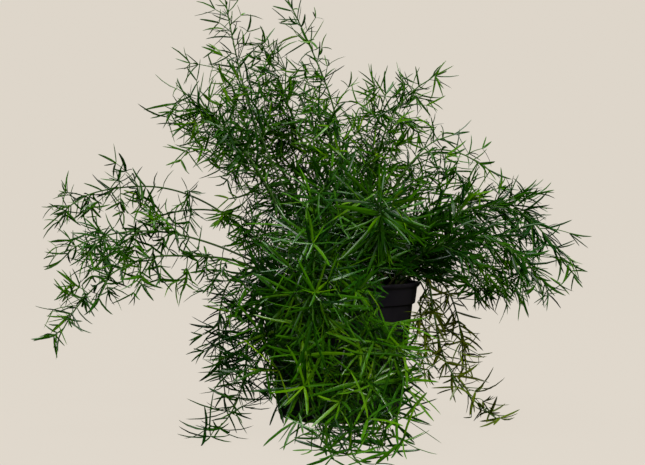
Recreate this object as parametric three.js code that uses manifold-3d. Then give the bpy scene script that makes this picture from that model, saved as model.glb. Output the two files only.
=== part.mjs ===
// A potted sprengeri fern: a tapered black nursery pot filled with peat, and wiry arching
// stems that carry short side twigs and narrow flat leaves.
// Millimetres, +Z up. The origin is the centre of the pot's underside, the widest spread of
// the plant lies along X, and the longest trailing stems come forward along -Y.
import * as THREE from "three";
import { mergeVertices } from "three/addons/utils/BufferGeometryUtils.js";
import Module from "manifold-3d";

const wasm = await Module();
wasm.setup();

const V = (x, y, z) => new THREE.Vector3(x, y, z);
const UP = V(0, 0, 1);
const NEARLY_UPRIGHT = 0.15;
const FULL_TURN = 2 * Math.PI;

// Driving dimensions. Angles are in radians, and shares are of a length.
const GAP = 0.3;
const POT = {
  height: 108,
  wall: 1.5,
  floor: 2.2,
  footRadius: 46.5,
  footBevel: 1,
  baseRadius: 49,
  baseEdge: 2.5,
  bandFoot: 90.5,
  bandStep: 2.0,
  bandLedge: 0.6,
  wallTopRadius: 59.4,
  bandTop: 103,
  bandTopRadius: 63,
  lipRadius: 65.2,
  lipFoot: 105.5,
  lipBevel: 0.6,
  sides: 32,
};
const DRAIN = { count: 8, radius: 4, ring: 34, sides: 7 };
const SOIL = { top: 96.5, bump: 1.5, sides: 20, rings: 3 };
const STEM = { footRadius: 1.2, tipRadius: 0.7, rootDepth: 13, step: 28 };
const TWIG = { radius: 0.45, lean: 0.95, leanSpread: 0.18, turnSpread: 0.4, tipLoss: 0.55 };
const LEAF = { thickness: 0.9, widest: 0.42, lean: 1.1, tipLean: 0.5, leanSpread: 0.25 };
const CLEARANCE = { floor: 0.5, pot: 1 };

// Leaves are small and narrow on old growth, long and broad in front. A twig sags by a share of
// its length, or rises where its sag is negative.
const GROWTH = {
  fan: { leafLength: 17, leafWidth: 1.9, sag: 0.12 },
  airy: { leafLength: 20, leafWidth: 1.7, sag: 0.16 },
  dense: { leafLength: 20, leafWidth: 1.9, sag: 0.16 },
  dark: { leafLength: 22, leafWidth: 1.9, sag: -0.3 },
  olive: { leafLength: 18, leafWidth: 1.8, sag: -0.1 },
  crown: { leafLength: 26, leafWidth: 2.2, sag: 0 },
  nodding: { leafLength: 34, leafWidth: 2.5, sag: 0.16 },
  front: { leafLength: 32, leafWidth: 2.4, sag: -0.3 },
};

// One row for each leafy stem: where it leaves the peat, the points that it passes, the share
// of its length below its first twig, its longest twig, and how it grows.
const STEMS = [
  row("left_high", [-20, 8],
    [[-38, 8, 118], [-63, 10, 138], [-108, 18, 171], [-145, 26, 184], [-184, 30, 184], [-214, 32, 176],
      [-234, 32, 160]],
    0.68, 36, "fan"),
  row("left_mid", [-30, -4],
    [[-72, -12, 126], [-121, -28, 145], [-150, -34, 149], [-180, -38, 146], [-204, -42, 137],
      [-216, -42, 126]],
    0.54, 38, "fan"),
  row("left_drooping", [-36, -14],
    [[-76, -32, 124], [-122, -44, 130], [-150, -52, 128], [-178, -58, 114], [-201, -60, 90],
      [-212, -60, 72]],
    0.34, 34, "fan"),
  row("left_back", [-27, 20],
    [[-52, 38, 138], [-98, 64, 164], [-152, 88, 162], [-198, 104, 136], [-222, 108, 116]],
    0.64, 36, "fan"),
  row("left_hanging", [-34, -24],
    [[-56, -42, 117], [-68, -58, 88], [-70, -72, 56], [-75, -82, 28], [-83, -90, 12], [-89, -95, 6]],
    0.26, 30, "dark"),
  row("left_hanging_back", [-40, 2],
    [[-66, 4, 119], [-88, 2, 108], [-96, -2, 84], [-95, -8, 46], [-91, -14, 19]], 0.5, 26, "dark"),
  row("top_left_tallest", [-10, -2],
    [[-28, -6, 150], [-52, -10, 200], [-72, -12, 248], [-84, -12, 298], [-92, -14, 340]],
    0.42, 28, "airy"),
  row("top_left_front", [-17, -12],
    [[-42, -24, 155], [-70, -34, 206], [-96, -40, 235], [-112, -42, 249], [-122, -42, 258]],
    0.56, 34, "airy"),
  row("top_left_low", [-19, 0],
    [[-45, 2, 158], [-76, 10, 210], [-98, 16, 237], [-116, 20, 249]], 0.46, 34, "airy"),
  row("top_left_back", [-9, 10],
    [[-26, 24, 158], [-56, 38, 216], [-74, 46, 254], [-86, 48, 280]], 0.48, 34, "airy"),
  row("top_front", [0, 2],
    [[2, 0, 150], [2, -2, 198], [-4, -4, 246], [-22, -6, 294], [-44, -8, 340]], 0.2, 26, "airy"),
  row("top_back", [-2, 14],
    [[-10, 26, 150], [-22, 32, 198], [-36, 36, 236], [-44, 36, 262], [-44, 36, 282]], 0.3, 40, "airy"),
  row("top_right_front", [7, -6],
    [[9, -12, 150], [8, -16, 190], [-8, -22, 224], [-22, -24, 254]], 0.16, 36, "airy"),
  row("top_right", [10, 6],
    [[18, 12, 152], [30, 18, 206], [46, 22, 246], [64, 24, 266], [76, 24, 274]], 0.26, 34, "airy"),
  row("top_right_back", [8, 16],
    [[16, 40, 150], [26, 62, 200], [34, 74, 240], [42, 80, 268]], 0.3, 38, "airy"),
  row("right_high", [18, 0],
    [[34, 2, 150], [55, 6, 200], [75, 10, 214], [99, 12, 212], [124, 14, 198]], 0.26, 34, "fan"),
  row("right_high_back", [17, 12],
    [[34, 24, 150], [56, 38, 198], [78, 48, 222], [98, 54, 230]], 0.26, 34, "fan"),
  row("right_longest", [28, -6],
    [[50, -12, 132], [82, -16, 158], [114, -18, 168], [142, -22, 164], [160, -26, 148], [174, -28, 128]],
    0.18, 34, "dense"),
  row("right_front", [32, -16],
    [[58, -36, 126], [84, -50, 142], [110, -58, 144], [134, -62, 132], [152, -62, 114]],
    0.16, 34, "dense"),
  row("right_mid", [26, 5],
    [[50, 12, 146], [84, 20, 168], [124, 26, 174], [164, 28, 162]], 0.14, 34, "dense"),
  row("right_low", [37, -4],
    [[70, 4, 124], [102, 8, 132], [126, 8, 118], [142, 4, 103]], 0.16, 32, "dense"),
  row("right_back", [26, 20],
    [[54, 44, 142], [94, 68, 160], [134, 86, 148], [166, 96, 122]], 0.16, 36, "dense"),
  row("right_hanging", [38, -14],
    [[66, -26, 116], [74, -32, 84], [81, -38, 51], [94, -44, 29], [110, -52, 13], [120, -58, 6]],
    0.26, 30, "olive"),
  row("right_hanging_back", [38, 8],
    [[66, 14, 118], [88, 18, 102], [100, 22, 70], [104, 26, 34]], 0.26, 30, "olive"),
  row("front_left", [-18, -30],
    [[-17, -64, 126], [-27, -88, 99], [-29, -100, 67], [-24, -118, 38], [-13, -146, 9], [-8, -190, 5],
      [-6, -212, 5]],
    0.16, 26, "front"),
  row("front_middle", [0, -36],
    [[4, -68, 129], [0, -96, 99], [3, -110, 64], [6, -124, 34], [6, -150, 10], [6, -188, 5],
      [12, -236, 5]],
    0.16, 30, "front"),
  row("front_right", [14, -33],
    [[14, -67, 126], [16, -92, 99], [27, -113, 69], [33, -130, 42], [31, -146, 15], [27, -166, 6],
      [28, -180, 5]],
    0.44, 26, "front"),
  row("centre_front", [-5, -14], [[-7, -32, 142], [-10, -54, 174], [-12, -72, 186]], 0.14, 30, "crown"),
  row("front_nodding", [10, -18], [[18, -44, 146], [26, -82, 166], [28, -120, 166]], 0.2, 26, "nodding"),
  row("front_arching", [-8, -22],
    [[-12, -52, 138], [-16, -88, 142], [-20, -120, 120], [-20, -142, 88]], 0.2, 30, "front"),
  row("front_corner", [-27, -24],
    [[-48, -54, 118], [-58, -76, 92], [-54, -92, 58], [-46, -108, 30]], 0.22, 28, "crown"),
  row("back_left", [-12, 28],
    [[-26, 58, 150], [-42, 100, 182], [-52, 142, 168], [-58, 174, 132]], 0.16, 38, "dense"),
  row("back_right", [12, 28],
    [[28, 64, 142], [48, 106, 158], [66, 144, 140], [78, 170, 104]], 0.12, 38, "dense"),
  row("back_hanging", [0, 36],
    [[2, 70, 122], [6, 100, 104], [8, 118, 64], [10, 136, 24], [14, 166, 6]], 0.24, 34, "dark"),
  row("back_corner", [-24, 31],
    [[-48, 60, 124], [-78, 86, 110], [-96, 102, 72], [-104, 112, 38]], 0.24, 34, "dark"),
];

// A stem has twenty places for a twig, of which every fifth carries one.
const TWIG_PLACES = 20;
const TWIG_FIRST = 2;
const TWIG_EVERY = 5;
const STEM_WHORLS = 2;

function row(name, foot, points, bare, reach, growth) {
  return { name, foot, points, bare, reach, ...GROWTH[growth] };
}

// A source of numbers seeded by keys, so that every run gives the same plant
function dice(...keys) {
  const modulus = 2147483647;
  const step = (state) => (state * 16807) % modulus;
  let state = keys.reduce((sum, key) => step(sum * 131 + key + 7), 17);
  return (low, high) => {
    state = step(state);
    return low + (high - low) * (state / modulus);
  };
}

// Solids from three.js geometry, with their faces turned outwards
function solidOf(geometry) {
  const bare = new THREE.BufferGeometry();
  bare.setAttribute("position", geometry.getAttribute("position"));
  bare.setIndex(geometry.index);
  const merged = mergeVertices(bare, 1e-4);
  const vertProperties = merged.getAttribute("position").array;
  const triangles = new Uint32Array(merged.index.array);
  const close = (triVerts) => new wasm.Manifold(new wasm.Mesh({ numProp: 3, vertProperties, triVerts }));
  const made = close(triangles);
  return made.volume() > 0 ? made : close(triangles.reverse());
}

function geometryOf(solid) {
  const mesh = solid.getMesh();
  const geometry = new THREE.BufferGeometry();
  geometry.setAttribute("position", new THREE.BufferAttribute(mesh.vertProperties, 3));
  geometry.setIndex(new THREE.BufferAttribute(mesh.triVerts, 1));
  geometry.computeVertexNormals();
  return geometry;
}

function geometryFrom(points, faces) {
  const geometry = new THREE.BufferGeometry().setFromPoints(points);
  geometry.setIndex(faces.flat());
  return geometry;
}

// A tapered three-sided tube through a list of points, closed at both ends
function taperedTube(points, footRadius, tipRadius) {
  const sides = 3;
  const last = points.length - 1;
  const rings = [];
  let normal = V(0.31, 0.93, 0.2);
  points.forEach((point, i) => {
    const along = points[Math.min(i + 1, last)].clone().sub(points[Math.max(i - 1, 0)]).normalize();
    normal = normal.clone().addScaledVector(along, -normal.dot(along)).normalize();
    const across = along.clone().cross(normal);
    const radius = THREE.MathUtils.lerp(footRadius, tipRadius, i / last);
    for (let k = 0; k < sides; k++) {
      const turn = (FULL_TURN * k) / sides;
      rings.push(
        point.clone()
          .addScaledVector(normal, radius * Math.cos(turn))
          .addScaledVector(across, radius * Math.sin(turn)),
      );
    }
  });
  const faces = [];
  for (let i = 0; i < last; i++)
    for (let k = 0; k < sides; k++) {
      const a = i * sides + k;
      const b = i * sides + ((k + 1) % sides);
      faces.push([a, b, b + sides], [a, b + sides, a + sides]);
    }
  faces.push([0, 2, 1], [last * sides, last * sides + 1, last * sides + 2]);
  return solidOf(geometryFrom(rings, faces));
}

// A blade with a point at each end, a straight keel below and its edges spread at its widest
function blade(root, middle, tip, width, thickness) {
  const along = tip.clone().sub(root).normalize();
  const across = along.clone().cross(UP);
  if (across.length() < NEARLY_UPRIGHT) across.copy(along.clone().cross(V(0, 1, 0)));
  across.normalize();
  const over = across.clone().cross(along).normalize();
  const ridge = middle.clone().addScaledVector(over, thickness);
  const left = ridge.clone().addScaledVector(across, width / 2);
  const right = ridge.clone().addScaledVector(across, -width / 2);
  return solidOf(geometryFrom([root, left, right, tip], [[0, 2, 1], [0, 1, 3], [0, 3, 2], [3, 1, 2]]));
}

// Pot
const POT_STEP = POT.bandFoot - POT.wall;

function outerRadius(z) {
  const { mapLinear } = THREE.MathUtils;
  const bandFootRadius = POT.wallTopRadius + POT.bandStep;
  if (z < POT.bandFoot) return mapLinear(z, POT.baseEdge, POT.bandFoot, POT.baseRadius, POT.wallTopRadius);
  if (z < POT.bandTop) return mapLinear(z, POT.bandFoot, POT.bandTop, bandFootRadius, POT.bandTopRadius);
  return POT.lipRadius;
}

function innerRadius(z) {
  if (z < POT_STEP) return outerRadius(z) - POT.wall;
  const foot = POT.wallTopRadius + POT.bandStep - POT.wall;
  const mouth = POT.bandTopRadius - POT.wall;
  return THREE.MathUtils.mapLinear(z, POT.bandFoot, POT.height, foot, mouth);
}

function makePot() {
  const ledge = POT.bandFoot + POT.bandLedge;
  const underStep = POT_STEP - 0.01;
  const profile = [
    [0, 0], [POT.footRadius, 0], [POT.footRadius + POT.footBevel, POT.footBevel],
    [POT.baseRadius, POT.baseEdge], [POT.wallTopRadius, POT.bandFoot],
    [POT.wallTopRadius + POT.bandStep, ledge], [POT.bandTopRadius, POT.bandTop],
    [POT.lipRadius, POT.lipFoot], [POT.lipRadius, POT.height - POT.lipBevel],
    [POT.lipRadius - POT.lipBevel, POT.height], [innerRadius(POT.height), POT.height],
    [innerRadius(ledge), ledge], [innerRadius(underStep), underStep],
    [innerRadius(POT.floor), POT.floor], [0, POT.floor],
  ];
  const turned = new THREE.LatheGeometry(profile.map(([r, z]) => new THREE.Vector2(r, z)), POT.sides);
  const hole = new THREE.CylinderGeometry(DRAIN.radius, DRAIN.radius, 4 * POT.floor, DRAIN.sides);
  let made = solidOf(turned.rotateX(Math.PI / 2));
  hole.rotateX(Math.PI / 2);
  for (let i = 0; i < DRAIN.count; i++) {
    const turn = (FULL_TURN * (i + 0.5)) / DRAIN.count;
    const at = hole.clone().translate(DRAIN.ring * Math.cos(turn), DRAIN.ring * Math.sin(turn), 0);
    made = made.subtract(solidOf(at));
  }
  return made;
}

// Peat, lumpy on top, with a hole for each stem
function peatTop(r, turn) {
  return SOIL.top + SOIL.bump * Math.sin(0.21 * r + 3 * turn) * Math.cos(0.17 * r - 2 * turn + 1);
}

function peatRings() {
  const floor = POT.floor + GAP;
  const ledge = POT.bandFoot + POT.bandLedge;
  const side = [
    [innerRadius(floor), floor],
    [innerRadius(POT_STEP - 0.01), POT_STEP],
    [innerRadius(ledge), ledge + GAP],
  ];
  const rings = side.map(([radius, z]) => () => [radius - 2 * GAP, z]);
  for (let i = SOIL.rings; i > 0; i--) {
    const radius = ((innerRadius(SOIL.top) - 2 * GAP) * i) / SOIL.rings;
    rings.push((turn) => [radius, peatTop(radius, turn)]);
  }
  return rings;
}

function makeSoil(holes) {
  const n = SOIL.sides;
  const rings = peatRings();
  const points = [V(0, 0, POT.floor + GAP)];
  for (const ring of rings)
    for (let k = 0; k < n; k++) {
      const turn = (FULL_TURN * k) / n;
      const [r, z] = ring(turn);
      points.push(V(r * Math.cos(turn), r * Math.sin(turn), z));
    }
  const crown = points.push(V(0, 0, peatTop(0, 0))) - 1;
  const faces = [];
  for (let k = 0; k < n; k++) {
    const next = (k + 1) % n;
    faces.push([0, 1 + next, 1 + k], [crown - n + k, crown - n + next, crown]);
    for (let foot = 1; foot < crown - n; foot += n) {
      const [a, b] = [foot + k, foot + next];
      faces.push([a, b, b + n], [a, b + n, a + n]);
    }
  }
  return holes.reduce((soil, hole) => soil.subtract(hole), solidOf(geometryFrom(points, faces)));
}

// What is already placed, as rods with an owner. New growth crosses none of them, except that
// its first length starts inside what it grows from.
const placed = [];

// Least distance between the straight lines a to b and c to d
function rodDistance(a, b, c, d) {
  const u = b.clone().sub(a);
  const v = d.clone().sub(c);
  const w = a.clone().sub(c);
  const uv = u.dot(v);
  const clamp = (x) => THREE.MathUtils.clamp(x, 0, 1);
  const spread = u.lengthSq() * v.lengthSq() - uv * uv;
  const guess = spread > 1e-9 ? clamp((uv * v.dot(w) - v.lengthSq() * u.dot(w)) / spread) : 0;
  const t = clamp((uv * guess + v.dot(w)) / v.lengthSq());
  const s = clamp((uv * t - u.dot(w)) / u.lengthSq());
  return w.addScaledVector(u, s).addScaledVector(v, -t).length();
}

function place(owner, points, radius) {
  for (let i = 1; i < points.length; i++) {
    const [a, b] = [points[i - 1], points[i]];
    placed.push({ owner, a, b, radius, centre: a.clone().lerp(b, 0.5), half: a.distanceTo(b) / 2 });
  }
}

function insidePot(point, margin) {
  const r = Math.hypot(point.x, point.y);
  if (point.z > POT.height + margin || r > outerRadius(point.z) + margin) return false;
  return !(r < innerRadius(point.z) - margin && point.z > SOIL.top + SOIL.bump + margin);
}

function meetsAnother(owner, a, b, radius, first) {
  const centre = a.clone().lerp(b, 0.5);
  const half = a.distanceTo(b) / 2;
  return placed.some((rod) => {
    if (first && rod.owner === owner) return false;
    const room = radius + rod.radius + GAP;
    if (rod.centre.distanceTo(centre) > half + rod.half + room) return false;
    return rodDistance(a, b, rod.a, rod.b) < room;
  });
}

function isClear(owner, points, radius) {
  for (let i = 1; i < points.length; i++) {
    const [a, b] = [points[i - 1], points[i]];
    if (b.z < CLEARANCE.floor + radius) return false;
    for (const share of [0.25, 0.5, 0.75, 1])
      if (insidePot(a.clone().lerp(b, share), radius + CLEARANCE.pot)) return false;
    if (meetsAnother(owner, a, b, radius, i === 1)) return false;
  }
  return true;
}

// Direction that leaves an axis at a lean, turned about it
function leaving(along, turn, lean) {
  const across = along.clone().cross(UP);
  if (across.length() < NEARLY_UPRIGHT) across.set(1, 0, 0).cross(along);
  across.normalize();
  const over = across.clone().cross(along);
  return along.clone().multiplyScalar(Math.cos(lean))
    .addScaledVector(across, Math.sin(lean) * Math.cos(turn))
    .addScaledVector(over, Math.sin(lean) * Math.sin(turn));
}

// A path of straight lengths through a list of points
function straights(points) {
  const path = new THREE.CurvePath();
  for (let i = 1; i < points.length; i++) path.add(new THREE.LineCurve3(points[i - 1], points[i]));
  return path;
}

function stemPath({ foot, points }) {
  const start = V(foot[0], foot[1], SOIL.top);
  const first = V(...points[0]);
  const down = start.clone().sub(first).normalize();
  down.x *= 0.4;
  down.y *= 0.4;
  const root = start.clone().addScaledVector(down.normalize(), STEM.rootDepth);
  const curve = new THREE.CatmullRomCurve3([root, start, ...points.map((p) => V(...p))]);
  return straights(curve.getSpacedPoints(Math.ceil(curve.getLength() / STEM.step)));
}

function jointsOf(path) {
  return [path.curves[0].v1, ...path.curves.map((line) => line.v2)];
}

const GOLDEN_TURN = 2.39996;
const TURNS_TO_TRY = [0, 0.45, -0.45, 0.9, -0.9, 1.4, -1.4, 2, -2, 2.6, -2.6, 3.1];

// A twig leaves its stem at a lean and sags or rises towards its end
function twigChoices(stem, index, k, path) {
  const roll = dice(index, k);
  const u = stem.bare + (1 - stem.bare) * ((k + 0.5) / TWIG_PLACES);
  const start = path.getPoint(u);
  const along = path.getTangent(u);
  const length = stem.reach * (1 - TWIG.tipLoss * u ** 3) * roll(0.75, 1.05);
  const turn = GOLDEN_TURN * k + roll(-TWIG.turnSpread, TWIG.turnSpread);
  const lean = TWIG.lean + roll(-TWIG.leanSpread, TWIG.leanSpread);
  return TURNS_TO_TRY.map((extra) => {
    const end = start.clone().addScaledVector(leaving(along, turn + extra, lean), length);
    end.z -= stem.sag * length;
    return [start, end];
  });
}

// A leaf fans out from its carrier and bends a little up or down
function leafChoices(at, along, turn, lean, length, bend) {
  return TURNS_TO_TRY.map((extra) => {
    const out = leaving(along, turn + extra, lean);
    const tip = at.clone().addScaledVector(out, length);
    tip.z += bend * length;
    return [at, at.clone().lerp(tip, LEAF.widest), tip];
  });
}

function firstClear(owner, choices, radius) {
  const points = choices.find((tried) => isClear(owner, tried, radius));
  if (points) place(owner, points, radius);
  return points;
}

// A star of leaves round one spot of a stem or twig
function growWhorl(parts, stem, keys, path, share, count, lean) {
  const roll = dice(...keys);
  const along = path.getTangent(share);
  const girth = Math.hypot(stem.leafWidth / 2, LEAF.thickness);
  const start = roll(0, FULL_TURN);
  for (let i = 0; i < count; i++) {
    const turn = start + (FULL_TURN * i) / count + roll(-0.3, 0.3);
    const length = stem.leafLength * roll(0.75, 1.15);
    const tilt = lean + roll(-LEAF.leanSpread, LEAF.leanSpread);
    const choices = leafChoices(path.getPoint(share), along, turn, tilt, length, roll(-0.14, 0.1));
    const points = firstClear(stem.name, choices, girth);
    if (points) parts.push(blade(...points, stem.leafWidth, LEAF.thickness));
  }
}

function growStem(stem, index, path) {
  const parts = [taperedTube(jointsOf(path), STEM.footRadius, STEM.tipRadius)];
  for (let k = TWIG_FIRST; k < TWIG_PLACES; k += TWIG_EVERY) {
    const points = firstClear(stem.name, twigChoices(stem, index, k, path), TWIG.radius);
    if (!points) continue;
    parts.push(taperedTube(points, TWIG.radius, TWIG.radius));
    const twig = straights(points);
    growWhorl(parts, stem, [index, k, 1], twig, 0.55, 1, LEAF.lean);
    growWhorl(parts, stem, [index, k, 2], twig, 0.97, 3, LEAF.tipLean);
  }
  for (let k = 0; k < STEM_WHORLS; k++) {
    const u = stem.bare + (1 - stem.bare) * ((k + 0.4) / STEM_WHORLS);
    growWhorl(parts, stem, [index, 50, k], path, u, 2, LEAF.lean);
  }
  growWhorl(parts, stem, [index, 60], path, 0.995, 3, LEAF.tipLean);
  return wasm.Manifold.union(parts);
}

// Materials
const black = new THREE.MeshStandardMaterial({ color: 0x1b1a20, roughness: 0.45, metalness: 0 });
const peat = new THREE.MeshStandardMaterial({ color: 0x2a1c12, roughness: 0.95, metalness: 0 });
const green = new THREE.MeshStandardMaterial({ color: 0x2f7a1c, roughness: 0.4, metalness: 0 });

// Assembly
const plant = new THREE.Group();

function addMesh(name, solid, material) {
  const mesh = new THREE.Mesh(geometryOf(solid), material);
  mesh.name = name;
  plant.add(mesh);
}

const paths = STEMS.map(stemPath);
paths.forEach((path, i) => place(STEMS[i].name, jointsOf(path), STEM.footRadius));

// A three-sided hole is two gaps larger in radius where its flat sides are one gap away.
const holes = paths.map((path) => {
  const [foot, above] = jointsOf(path);
  const below = foot.clone().sub(above).setLength(2 * GAP).add(foot);
  return taperedTube([below, above], STEM.footRadius + 2 * GAP, STEM.footRadius + 2 * GAP);
});

addMesh("pot", makePot(), black);
addMesh("soil", makeSoil(holes), peat);
STEMS.forEach((stem, i) => addMesh("leafy_stem_" + stem.name, growStem(stem, i, paths[i]), green));

export default plant;
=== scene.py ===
import math
from collections import namedtuple

import bmesh
import bpy
import numpy as np
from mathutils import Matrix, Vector


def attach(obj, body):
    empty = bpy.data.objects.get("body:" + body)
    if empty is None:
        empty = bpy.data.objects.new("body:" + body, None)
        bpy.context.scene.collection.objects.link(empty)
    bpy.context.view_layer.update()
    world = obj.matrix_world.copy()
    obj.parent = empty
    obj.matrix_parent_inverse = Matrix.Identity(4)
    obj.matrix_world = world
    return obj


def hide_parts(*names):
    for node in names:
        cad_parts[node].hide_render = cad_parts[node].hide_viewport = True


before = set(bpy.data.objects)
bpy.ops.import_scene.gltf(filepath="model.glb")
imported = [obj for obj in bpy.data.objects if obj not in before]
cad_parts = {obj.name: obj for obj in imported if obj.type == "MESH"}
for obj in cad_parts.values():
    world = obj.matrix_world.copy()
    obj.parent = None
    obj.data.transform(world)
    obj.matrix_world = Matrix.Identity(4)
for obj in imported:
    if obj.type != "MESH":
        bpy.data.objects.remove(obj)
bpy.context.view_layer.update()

# Camera
# It stands a metre in front of the pot, a little above the rim, and looks very slightly down,
# so that the surface shows under the stems that trail forward.
MM = 0.001
PHOTO_WIDTH = 645
FOCAL_PIXELS = 1238
PITCH_DOWN = 0.72
CAMERA_PLACE = (-0.0133, -1.0, 0.160)


def in_scene(name, data):
    """A new object, linked into the scene."""
    thing = bpy.data.objects.new(name, data)
    bpy.context.collection.objects.link(thing)
    return thing


camera_data = bpy.data.cameras.new("camera")
camera_data.sensor_width = 36
camera_data.lens = camera_data.sensor_width * FOCAL_PIXELS / PHOTO_WIDTH
camera = in_scene("camera", camera_data)
camera.location = CAMERA_PLACE
camera.rotation_euler = (math.radians(90 - PITCH_DOWN), 0, 0)
bpy.context.scene.camera = camera


# Nursery pot
# One thin blow-moulded shell of black polypropylene: a tapered wall, a stepped band with a
# rolled lip for lifting it by, and drain holes near the edge of its flat underside.
class Wire:
    """A value on its way through a material's nodes. Arithmetic on it adds Math nodes."""

    def __init__(self, material, socket=None):
        self.material = material
        self.socket = socket

    def node(self, kind, settings=None, sockets=None, out=0):
        """A new node's output: its settings are made first, then its sockets' values or links."""
        made = self.material.node_tree.nodes.new(kind)
        for name, value in (settings or {}).items():
            if name == "stops":
                self.set_stops(made.color_ramp, value)
            else:
                setattr(made, name, value)
        self.feed(made, sockets or {})
        return Wire(self.material, made.outputs[out])

    def feed(self, node, sockets):
        for name, value in sockets.items():
            target = node.inputs[name]
            if isinstance(value, Wire):
                self.material.node_tree.links.new(value.socket, target)
            elif isinstance(value, tuple) and target.type == "RGBA":
                target.default_value = (*value, 1)
            else:
                target.default_value = value

    def set_stops(self, ramp, stops):
        while len(ramp.elements) < len(stops):
            ramp.elements.new(0.5)
        for element, (position, colour) in zip(ramp.elements, stops):
            element.position = position
            element.color = (*colour, 1)

    def math(self, operation, *values):
        return self.node("ShaderNodeMath", {"operation": operation}, dict(enumerate(values)))

    def blend(self, factor, first, second):
        sockets = {0: factor, 6: first, 7: second}
        return self.node("ShaderNodeMix", {"data_type": "RGBA"}, sockets, out=2)

    def spread(self, low, high):
        """The value's range from low to high, stretched to 0 to 1 and cut off there."""
        return self.node("ShaderNodeMapRange", {}, {0: self, 1: low, 2: high, 3: 0.0, 4: 1.0})

    def __add__(self, other):
        return self.math("ADD", self, other)

    def __sub__(self, other):
        return self.math("SUBTRACT", self, other)

    def __rsub__(self, other):
        return self.math("SUBTRACT", other, self)

    def __mul__(self, other):
        return self.math("MULTIPLY", self, other)

    __radd__ = __add__
    __rmul__ = __mul__


def new_finish(name):
    material = bpy.data.materials.new(name)
    material.use_nodes = True
    return material, Wire(material), material.node_tree.nodes["Principled BSDF"]


def add_piece(name, mesh, node, slot, *materials):
    piece = in_scene(name, mesh)
    for material in materials:
        mesh.materials.append(material)
    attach(piece, "root")
    if node:
        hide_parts(node)
    return piece


POT_HEIGHT = 108
POT_WALL = 1.5
POT_FLOOR = 2.2
BAND_FOOT = 90.5
WALL_TOP_RADIUS = 59.4
BASE_RADIUS = 49
BASE_EDGE = 2.5
BAND_RADIUS = 61.4
BAND_TOP = 103
BAND_TOP_RADIUS = 63
LIP_RADIUS = 65.2
POT_SIDES = 144
DRAIN_HOLES = 8
DRAIN_RADIUS = 4
DRAIN_RING = 34
SHARP_POT_EDGE = 38


def pot_outer_radius(z):
    if z < BAND_FOOT:
        return float(np.interp(z, [BASE_EDGE, BAND_FOOT], [BASE_RADIUS, WALL_TOP_RADIUS]))
    if z < BAND_TOP:
        return float(np.interp(z, [BAND_FOOT, BAND_TOP], [BAND_RADIUS, BAND_TOP_RADIUS]))
    return LIP_RADIUS


def pot_profile():
    """Half of the shell's section, up its outside and down its inside, in millimetres."""
    outside = [
        (0, 0), (20, 0), (40, 0), (46.0, 0), (47.0, 0.25), (47.8, 0.9), (48.6, 1.8),
        (49.0, 2.8), (49.2, 4.0),
    ]
    for z in (15, 30, 45, 60, 75, 86):
        outside.append((pot_outer_radius(z), z))
    outside += [
        (59.2, 89.4), (59.5, 90.3), (60.0, 90.7), (60.9, 90.9), (61.4, 91.3), (61.55, 92.2),
        (62.1, 96), (62.6, 100), (62.9, 102.6), (63.2, 103.6), (64.0, 104.4), (64.8, 105.0),
        (65.15, 105.8), (65.2, 106.8), (64.95, 107.5), (64.3, 107.95), (63.5, 108),
    ]
    inside = [
        (62.3, 107.9), (61.7, 107.4), (61.5, 106.5), (61.3, 103), (60.6, 97), (59.95, 92.2),
        (59.4, 91.2), (58.3, 90.4), (57.8, 89.2), (57.5, 86),
    ]
    for z in (75, 60, 45, 30, 15, 6):
        inside.append((pot_outer_radius(z) - POT_WALL, z))
    floor = [(46.8, 3.4), (45.8, 2.6), (44.5, POT_FLOOR), (30, POT_FLOOR), (0, POT_FLOOR)]
    return outside + inside + floor


def finished_mesh(name, mesh):
    """The mesh that stays, made of what was built up face by face."""
    data = bpy.data.meshes.new(name)
    mesh.to_mesh(data)
    mesh.free()
    return data


def turned_mesh(name, profile, sides):
    """A closed solid of revolution whose profile starts and ends on the axis."""
    mesh = bmesh.new()
    rings = []
    for radius, z in profile:
        if radius == 0:
            rings.append([mesh.verts.new((0, 0, z * MM))])
            continue
        turns = [2 * math.pi * k / sides for k in range(sides)]
        rings.append([
            mesh.verts.new((radius * MM * math.cos(t), radius * MM * math.sin(t), z * MM))
            for t in turns
        ])
    for low, high in zip(rings, rings[1:]):
        for k in range(sides):
            corners = [low[k % len(low)], low[(k + 1) % len(low)],
                       high[(k + 1) % len(high)], high[k % len(high)]]
            mesh.faces.new(dict.fromkeys(corners))
    bmesh.ops.recalc_face_normals(mesh, faces=mesh.faces)
    return finished_mesh(name, mesh)


def drain_cutter():
    """A ring of upright pins, one for each drain hole, that pass right through the floor."""
    mesh = bmesh.new()
    for k in range(DRAIN_HOLES):
        turn = 2 * math.pi * (k + 0.5) / DRAIN_HOLES
        place = Vector((math.cos(turn), math.sin(turn), 0)) * DRAIN_RING * MM
        pin = bmesh.ops.create_cone(
            mesh, cap_ends=True, segments=28, depth=12 * MM,
            radius1=DRAIN_RADIUS * MM, radius2=DRAIN_RADIUS * MM)
        bmesh.ops.translate(mesh, verts=pin["verts"], vec=place)
    return in_scene("drain_cutter", finished_mesh("drain_cutter", mesh))


def cut(piece, cutter):
    """Take the cutter's solids out of a piece, and the cutter out of the scene."""
    tool = piece.modifiers.new("cut", "BOOLEAN")
    tool.operation = "DIFFERENCE"
    tool.solver = "EXACT"
    tool.object = cutter
    bpy.context.view_layer.update()
    graph = bpy.context.evaluated_depsgraph_get()
    done = bpy.data.meshes.new_from_object(piece.evaluated_get(graph))
    piece.modifiers.clear()
    piece.data = done
    bpy.data.objects.remove(cutter)


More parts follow.
